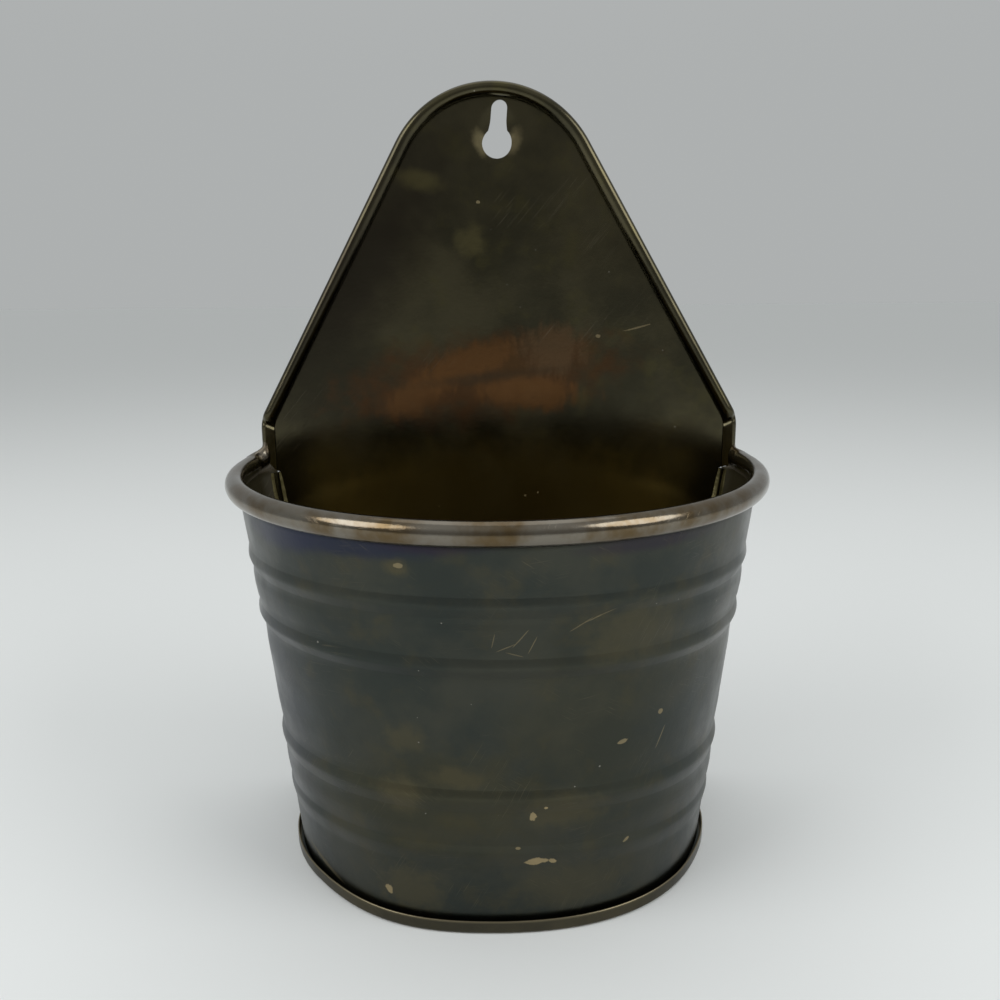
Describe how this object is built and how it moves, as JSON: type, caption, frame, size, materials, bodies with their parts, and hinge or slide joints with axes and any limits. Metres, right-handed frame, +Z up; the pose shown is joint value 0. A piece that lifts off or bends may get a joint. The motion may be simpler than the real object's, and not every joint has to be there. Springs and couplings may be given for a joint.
{
  "type": "wall planter",
  "caption": "Wall-hung bucket planter with a ribbed, tapered D-shaped bucket, a rolled rim and an arched back plate that hangs on a keyhole.",
  "frame": {"origin": "middle of the bounding box's underside, on the surface the base stands on", "axes": "+Z up, +Y towards the wall (square to the flat back), -Y to the front, +X to the right as seen from the front"},
  "size_m": [0.1762, 0.1116, 0.2475],
  "materials": {
    "plate_metal": "aged bronze, semi-gloss, heat-coloured patches",
    "bucket_metal": "aged bronze, satin, dark patina with fine scratches",
    "base_metal": "aged bronze, satin, worn edge",
    "wire_steel": "plain drawn wire",
    "seam_solder": "dull, uneven soft solder"
  },
  "bodies": {
    "root": {"back_plate": "plate_metal", "arch_wire": "wire_steel", "bucket_shell": "bucket_metal", "rim_wire": "wire_steel", "base_cap": "base_metal", "left_seam_solder": "seam_solder", "right_seam_solder": "seam_solder"}
  },
  "joints": []
}
